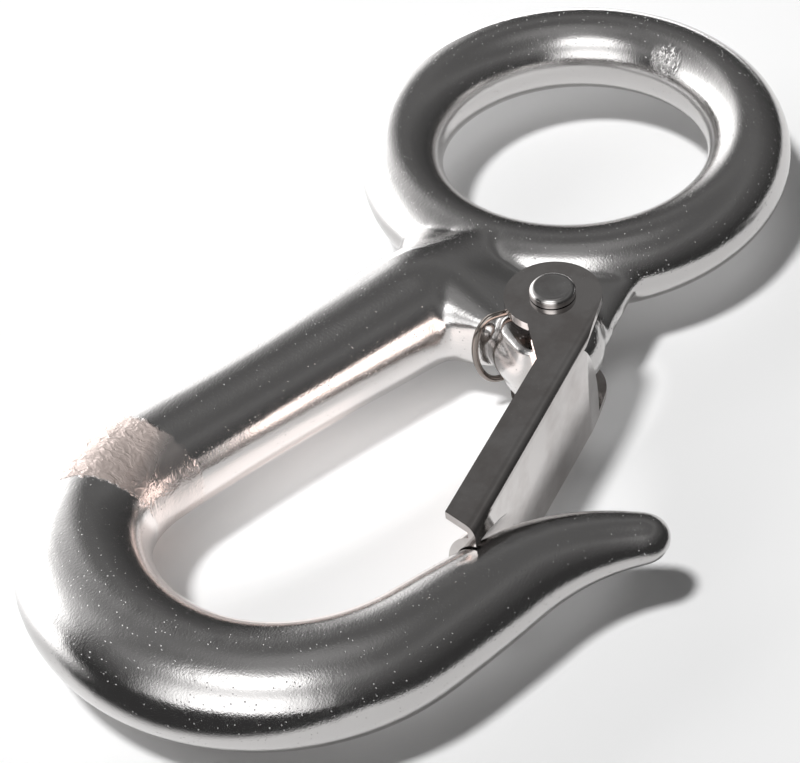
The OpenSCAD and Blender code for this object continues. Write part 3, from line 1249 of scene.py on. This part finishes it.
@dataclass
class Spring:
    """The double torsion spring: a loop that bears on the neck, two coils, two legs in the gate."""

    pivot: Vector
    finish: PlatedMetal
    gate_angle: float
    wire_radius: float = 0.4
    coil_radius: float = 2.25
    coil_low: float = 4.8
    coil_high: float = 6.2
    coil_sweep: float = 540.0
    coil_points: int = 48
    loop_reach: float = 8.9
    loop_depth: float = 2.5
    loop_angle: float = -41.5
    leg_reach: float = 20.0
    web_inside: float = 4.9
    # These two are not used. The lean is the gate's angle less the loop's, and the length is how far past the
    # pivot a bend across the joint would end.
    bend_lean: float = 47.1
    bend_length: float = 2.2

    def half(self) -> list[Vector]:
        """Lists the upper half of the wire, from the loop's middle to the end of a leg.

        Returns:
            Points about the rivet.
        """

        def at_height(height: float, *parts: Vector) -> Vector:
            """Adds vectors in the XY plane, and lifts the sum to a height."""
            return sum(parts, Vector((0.0, 0.0, height)))

        loop = unit(self.loop_angle)
        across = unit(self.loop_angle - 90) * self.coil_radius
        points = []
        for angle in (math.radians(k) for k in range(0, 91, 10)):
            reach = self.loop_reach - self.loop_depth + self.loop_depth * math.cos(angle)
            points.append(at_height(self.coil_low * math.sin(angle), loop * reach, across))
        leg = self.gate_angle + math.degrees(math.atan((self.web_inside - self.coil_radius) / self.leg_reach))
        sweep = self.coil_sweep + self.loop_angle - leg
        for k in range(self.coil_points + 1):
            t = k / self.coil_points
            height = self.coil_low + t * (self.coil_high - self.coil_low)
            points.append(at_height(height, unit(self.loop_angle - 90 - t * sweep) * self.coil_radius))
        for reach in (self.leg_reach * 0.3, self.leg_reach * 0.6, self.leg_reach):
            points.append(at_height(self.coil_high, unit(leg + 90) * self.coil_radius, unit(leg) * reach))
        return points

    def build(self) -> bpy.types.Object:
        """Runs a round wire along the route, and makes it a mesh.

        Returns:
            The finished spring.
        """
        upper = self.half()
        lower = [Vector((at.x, at.y, -at.z)) for at in reversed(upper[1:])]
        route = [self.pivot + at for at in lower + upper]
        curve = bpy.data.curves.new("torsion_spring", "CURVE")
        curve.dimensions = "3D"
        curve.bevel_depth = self.wire_radius
        curve.bevel_resolution = 5
        curve.use_fill_caps = True
        line = curve.splines.new("POLY")
        line.points.add(len(route) - 1)
        for point, at in zip(line.points, route):
            point.co = (*at, 1.0)
        spring = bpy.data.objects.new("torsion_spring", curve)
        bpy.context.scene.collection.objects.link(spring)
        alone(spring)
        bpy.ops.object.convert(target="MESH")
        spring = bpy.context.view_layer.objects.active
        with editing(spring):
            bpy.ops.mesh.remove_doubles(threshold=0.0005)
            face_outwards()
        smooth(spring, 50.0)
        return dress(spring, self.finish.make())


# ---------- studio ----------


@dataclass(frozen=True)
class Panel:
    """A flat soft lamp, placed round the hook by its angles as seen from it."""

    name: str
    azimuth: float
    elevation: float
    distance: float
    width: float
    height: float
    radiance: float
    colour: str = "#FFFFFF"

    def hang(self, target: Vector) -> bpy.types.Object:
        """Hangs the lamp so that it faces a point.

        Args:
            target: The point it faces, in metres.

        Returns:
            The lamp.
        """
        lamp = bpy.data.lights.new(self.name, "AREA")
        lamp.shape = "RECTANGLE"
        lamp.size = self.width
        lamp.size_y = self.height
        lamp.energy = self.radiance * math.pi * self.width * self.height
        lamp.color = linear(self.colour)[:3]
        panel = bpy.data.objects.new(self.name, lamp)
        out = toward(self.azimuth, self.elevation)
        panel.location = target + out * self.distance
        panel.rotation_euler = out.to_track_quat("Z", "Y").to_euler()
        panel.visible_camera = False
        panel.visible_glossy = False
        bpy.context.scene.collection.objects.link(panel)
        return panel


@dataclass(frozen=True)
class Glow:
    """A soft bright area on the tent: its middle and half widths in degrees, and its levels.

    The levels are pairs of a height, as the sine of the elevation, and a radiance.
    """

    azimuth: float
    full: float
    none: float
    levels: Table


@dataclass
class Cards:
    """What the metal sees round it: a dim tent with soft bright areas, an apron and a small card.

    The cards are met only by glossy rays, so they neither light the floor nor stand in a view.
    An edge on the apron is a bearing, and the distances along it, in metres, where its mask is
    0 and where it is 1.
    """

    floor_level: float
    tent_radius: float = 2.0
    apron_size: float = 3.9
    apron_lift: float = 0.0003
    card_centre: tuple[float, float, float] = (0.0475, 0.0160, 0.0032)
    card_size: tuple[float, float] = (0.025, 0.008)
    card_turn: float = 5.6
    card_level: float = 3.0
    dark: float = 0.05
    bright: float = 3.0
    warm: float = 0.45
    warm_colour: str = "#FFEAE2"
    left_edges: Edges = ((90.0, -0.016, -0.044), (32.0, 0.094, 0.062))
    mouth_edges: Edges = (
        (0.0, 0.042, 0.050), (0.0, 0.072, 0.064), (90.0, -0.016, -0.008), (90.0, 0.008, 0.003),
    )
    dark_edges: tuple[Edges, ...] = (
        ((0.0, 0.100, 0.106),),
        ((90.0, 0.062, 0.085),),
        ((90.0, 0.043, 0.052), (0.0, -0.03, -0.01)),
        ((0.0, -0.075, -0.115),),
    )
    ceiling: Table = (
        (0.0, 0.05), (0.5, 0.12), (0.68, 0.19), (0.78, 0.15), (0.87, 0.14), (0.94, 0.18), (1.0, 0.36),
    )
    glows: tuple[Glow, ...] = (
        Glow(
            -97.0, 22.0, 50.0,
            ((0.0, 3.5), (0.38, 3.0), (0.5, 1.5), (0.64, 0.7), (0.77, 0.32), (0.9, 0.06), (1.0, 0.0)),
        ),
        Glow(
            12.0, 8.0, 40.0,
            (
                (0.0, 2.2), (0.36, 2.1), (0.5, 1.2), (0.62, 0.95),
                (0.74, 2.4), (0.85, 2.4), (0.93, 0.35), (1.0, 0.0),
            ),
        ),
        Glow(10.0, 15.0, 78.0, ((0.0, 0.0), (0.3, 0.04), (0.7, 0.22), (0.9, 0.22), (1.0, 0.0))),
    )

    def card(self, piece: bpy.types.Object) -> None:
        """Makes a stage object that only glossy rays meet.

        Args:
            piece: The stage object, already dressed.
        """
        for ray in ("camera", "diffuse", "shadow", "transmission", "volume_scatter"):
            setattr(piece, f"visible_{ray}", False)
        for material in piece.data.materials:
            material.cycles.emission_sampling = "NONE"
        piece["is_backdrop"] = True

    def within(self, shade: Shade, spot: bpy.types.NodeSocket, edges: Edges) -> bpy.types.NodeSocket:
        """Masks what lies inside every one of some straight soft edges.

        Args:
            shade: The material being wired.
            spot: Object coordinates.
            edges: The edges.

        Returns:
            The mask.
        """
        mask = None
        for bearing, start, end in edges:
            along = shade.add(
                "VectorMath", {"operation": "DOT_PRODUCT"}, "Value", in0=spot, in1=unit(bearing)
            )
            inside = shade.add("MapRange", SMOOTH, Value=along, **span(start, end))
            if mask is not None:
                inside = shade.add("Math", {"operation": "MULTIPLY"}, in0=mask, in1=inside)
            mask = inside
        return mask

    def tent(self) -> None:
        """Hangs the dim tent over everything."""
        bpy.ops.mesh.primitive_uv_sphere_add(segments=96, ring_count=48, radius=self.tent_radius)
        tent = fresh("tent")
        material, shade = start_material("dim_cloth_tent")
        way = shade.add("VectorMath", {"operation": "NORMALIZE"}, in0=shade.add("TexCoord", out="Object"))
        parts = shade.add("SeparateXYZ", Vector=way).node.outputs
        azimuth = shade.add("Math", {"operation": "ARCTAN2"}, in0=parts["Y"], in1=parts["X"])
        total = shade.add("ValToRGB", {"stops": self.ceiling}, Fac=parts["Z"])
        for glow in self.glows:
            offset = shade.add("Math", {"operation": "SUBTRACT"}, in0=azimuth, in1=math.radians(glow.azimuth))
            away = shade.add("Math", {"operation": "ABSOLUTE"}, in0=offset)
            reach = span(math.radians(glow.full), math.radians(glow.none), 1.0, 0.0)
            mask = shade.add("MapRange", SMOOTH, Value=away, **reach)
            light = shade.add("ValToRGB", {"stops": glow.levels}, Fac=parts["Z"])
            total = shade.add(
                "VectorMath", {"operation": "MULTIPLY_ADD"}, in0=light, in1=mask, in2=total
            )
        shade.add("OutputMaterial", Surface=shade.add("Emission", Color=total, Strength=1.0))
        dress(tent, material)
        self.card(tent)

    def apron(self) -> None:
        """Lays the apron: dark beyond the near floor, bright on the side of the left lamp."""
        height = self.floor_level + self.apron_lift
        bpy.ops.mesh.primitive_plane_add(size=self.apron_size, location=(0.0, 0.0, height))
        apron = fresh("apron")
        material, shade = start_material("dark_cloth_apron")
        spot = shade.add("TexCoord", out="Object")
        left = self.within(shade, spot, self.left_edges)
        mouth = self.within(shade, spot, self.mouth_edges)
        dark = left
        for edges in self.dark_edges:
            beyond = self.within(shade, spot, edges)
            dark = shade.add("Math", {"operation": "MAXIMUM"}, in0=dark, in1=beyond)
        level = shade.add("MapRange", Value=left, **span(0.0, 1.0, self.dark, self.bright))
        extra = shade.add("Math", {"operation": "MULTIPLY"}, in0=mouth, in1=self.warm)
        warm = shade.add("Emission", Color=linear(self.warm_colour), Strength=extra)
        clear = shade.add("AddShader", in0=shade.add("BsdfTransparent"), in1=warm)
        cloth = shade.add("Emission", Strength=level)
        shade.add("OutputMaterial", Surface=shade.add("MixShader", in0=dark, in1=clear, in2=cloth))
        dress(apron, material)
        self.card(apron)

    def mouth_card(self) -> None:
        """Stands a small warm card in the mouth, behind the gate."""
        bpy.ops.mesh.primitive_plane_add(size=1.0)
        card = fresh("mouth_card")
        card.scale = (*self.card_size, 1.0)
        card.rotation_euler = (math.pi / 2, 0.0, math.radians(self.card_turn))
        card.location = self.card_centre
        material, shade = start_material("warm_white_card")
        light = shade.add("Emission", Color=linear(self.warm_colour), Strength=self.card_level)
        shade.add("OutputMaterial", Surface=light)
        dress(card, material)
        self.card(card)

    def set_up(self) -> None:
        """Sets up every card."""
        self.tent()
        self.apron()
        self.mouth_card()


@dataclass(frozen=True)
class PaintedLightPatch:
    """Painted light on the floor in place of light that the hook throws there: an oval glow that fades
    outwards, in metres and degrees.
    """

    centre: tuple[float, float]
    angle: float
    length: float
    width: float
    level: float


@dataclass
class Studio:
    """The pale floor, the soft lamps, the surroundings and the camera."""

    floor_level: float
    target: Vector = field(default_factory=lambda: Vector((0.044, 0.001, 0.0)))
    floor_size: float = 6.0
    floor_colour: str = "#F1F1F1"
    floor_glow: float = 0.06
    # Painted light: ovals of glow on the floor where the metal would throw light.
    painted_light_patches: tuple[PaintedLightPatch, ...] = (
        PaintedLightPatch((0.052, -0.001), -21.5, 0.034, 0.011, 0.34),
        PaintedLightPatch((0.052, 0.027), 5.6, 0.022, 0.009, 0.12),
        PaintedLightPatch((0.0295, 0.0205), 5.6, 0.012, 0.006, 0.18),
    )
    patch_core: float = 0.3
    world_colour: str = "#FFFFFF"
    fill_level: float = 0.03
    key_azimuth: float = -35.0
    key_elevation: float = 71.5
    key_strength: float = 2.6
    key_spread: float = 9.0
    camera_azimuth: float = 34.6
    camera_elevation: float = 43.22
    camera_roll: float = -6.42
    camera_distance: float = 0.3368
    lens: float = 135.0
    sensor: float = 36.0
    panels: tuple[Panel, ...] = (Panel("left_panel", -97.0, 22.0, 0.45, 0.6, 0.34, 2.2),)

    def floor(self) -> None:
        """Lays the pale floor, which also glows faintly to the camera and in reflections, and has painted
        pools of light beside the hook.
        """
        bpy.ops.mesh.primitive_plane_add(size=self.floor_size, location=(0.0, 0.0, self.floor_level))
        floor = fresh("floor")
        material, shade = start_material("matt_white_paper")
        seen = self.seen(shade)
        spot = shade.add("TexCoord", out="Object")
        level = self.floor_glow
        for patch in self.painted_light_patches:
            mapped = shade.add(
                "Mapping",
                {"vector_type": "TEXTURE"},
                Vector=spot,
                Location=(*patch.centre, 0.0),
                Rotation=(0.0, 0.0, math.radians(patch.angle)),
                Scale=(patch.length, patch.width, 1.0),
            )
            reach = shade.add("VectorMath", {"operation": "LENGTH"}, "Value", in0=mapped)
            fade = span(1.0, self.patch_core, 0.0, patch.level)
            # Painted light: this oval's glow is added to the floor's own.
            painted_pool = shade.add("MapRange", SMOOTH, Value=reach, **fade)
            level = shade.add("Math", {"operation": "ADD"}, in0=painted_pool, in1=level)
        glow = shade.add("Math", {"operation": "MULTIPLY"}, in0=seen, in1=level)
        paper = shade.add("BsdfDiffuse", Color=linear(self.floor_colour))
        light = shade.add("Emission", Strength=glow)
        shade.add("OutputMaterial", Surface=shade.add("AddShader", in0=paper, in1=light))
        dress(floor, material)
        floor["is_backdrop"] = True

    def surroundings(self) -> None:
        """Lights the world: white where it is seen or reflected, and an even low fill elsewhere."""
        world = bpy.data.worlds.new("studio")
        bpy.context.scene.world = world
        world.use_nodes = True
        world.node_tree.nodes.clear()
        shade = Shade(world.node_tree)
        seen = self.seen(shade)
        fill = shade.add("Background", Color=linear(self.world_colour), Strength=self.fill_level)
        backdrop = shade.add("Background", Color=linear(self.world_colour), Strength=1.0)
        shade.add("OutputWorld", Surface=shade.add("MixShader", in0=seen, in1=fill, in2=backdrop))

    def seen(self, shade: Shade) -> bpy.types.NodeSocket:
        """Tells the rays that see the background from those that only gather light.

        Args:
            shade: The material or world being wired.

        Returns:
            1 for camera, glossy and transmission rays.
        """
        path = shade.add("LightPath").node.outputs
        total = path["Is Camera Ray"]
        for name in ("Is Glossy Ray", "Is Transmission Ray"):
            total = shade.add("Math", {"operation": "ADD", "use_clamp": True}, in0=total, in1=path[name])
        return total

    def key(self) -> None:
        """Adds the high key light, broad enough for soft shadow edges."""
        lamp = bpy.data.lights.new("key", "SUN")
        lamp.energy = self.key_strength
        lamp.angle = math.radians(self.key_spread)
        key = bpy.data.objects.new("key", lamp)
        key.visible_glossy = False
        key.rotation_euler = toward(self.key_azimuth, self.key_elevation).to_track_quat("Z", "Y").to_euler()
        bpy.context.scene.collection.objects.link(key)

    def camera(self) -> None:
        """Sets up the camera on its bearing, with its slight roll."""
        lens = bpy.data.cameras.new("camera")
        lens.lens = self.lens
        lens.sensor_width = self.sensor
        camera = bpy.data.objects.new("camera", lens)
        out = toward(self.camera_azimuth, self.camera_elevation)
        level = unit(self.camera_azimuth + 90)
        upright = out.cross(level)
        roll = math.radians(self.camera_roll)
        right = level * math.cos(roll) + upright * math.sin(roll)
        turn = Matrix((right, out.cross(right), out)).transposed().to_4x4()
        camera.matrix_world = Matrix.Translation(self.target + out * self.camera_distance) @ turn
        bpy.context.scene.collection.objects.link(camera)
        bpy.context.scene.camera = camera

    def set_up(self) -> None:
        """Sets up the whole studio."""
        self.camera()
        self.floor()
        self.surroundings()
        self.key()
        Cards(self.floor_level).set_up()
        for panel in self.panels:
            panel.hang(self.target)
        bpy.context.scene.view_settings.view_transform = "Standard"


# ---------- the whole hook ----------


def to_metres(piece: bpy.types.Object) -> bpy.types.Object:
    """Brings a piece from millimetres to metres.

    Args:
        piece: The finished piece.

    Returns:
        The same piece.
    """
    piece.scale = (METRES_PER_MM,) * 3
    return settle(piece)


def plain(bounds: object) -> list[list[float]]:
    return [[float(value) for value in corner] for corner in bounds]


def main() -> None:
    """Builds the studio and every piece in order, and says so."""
    logging.basicConfig(level=logging.INFO, format="%(name)s: %(message)s")
    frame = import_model()
    cad_box = plain(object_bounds())
    pivot = Vector(frame["joints"][0]["pos_m"]) / METRES_PER_MM

    Studio(floor_level=cad_box[0][2]).set_up()
    LOG.info("studio set up")

    forging = to_metres(Forging(pivot, PlatedForging()).build())
    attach(forging, "hook")
    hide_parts("hook_body")
    LOG.info("forged hook: %d faces", len(forging.data.polygons))

    leaf = Gate(pivot, PlatedMetal("chrome_plated_pressed_sheet", colour="#CAC6C4", roughness=(0.05, 0.12)))
    gate = to_metres(leaf.build())
    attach(gate, "gate")
    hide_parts("gate")
    LOG.info("folded gate: %d faces", len(gate.data.polygons))

    rivet = to_metres(Rivet(pivot, PlatedMetal("chrome_plated_rivet", roughness=(0.08, 0.16))).build())
    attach(rivet, "hook")
    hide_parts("rivet")
    LOG.info("rivet: %d faces", len(rivet.data.polygons))

    wire = PlatedMetal("bright_drawn_spring_steel", colour="#857F7A", roughness=(0.1, 0.18))
    coils = Spring(pivot, wire, leaf.angle)
    spring = to_metres(coils.build())
    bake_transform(spring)
    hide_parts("spring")
    LOG.info("torsion spring: %d faces", len(spring.data.polygons))


if __name__ == "__main__":
    main()
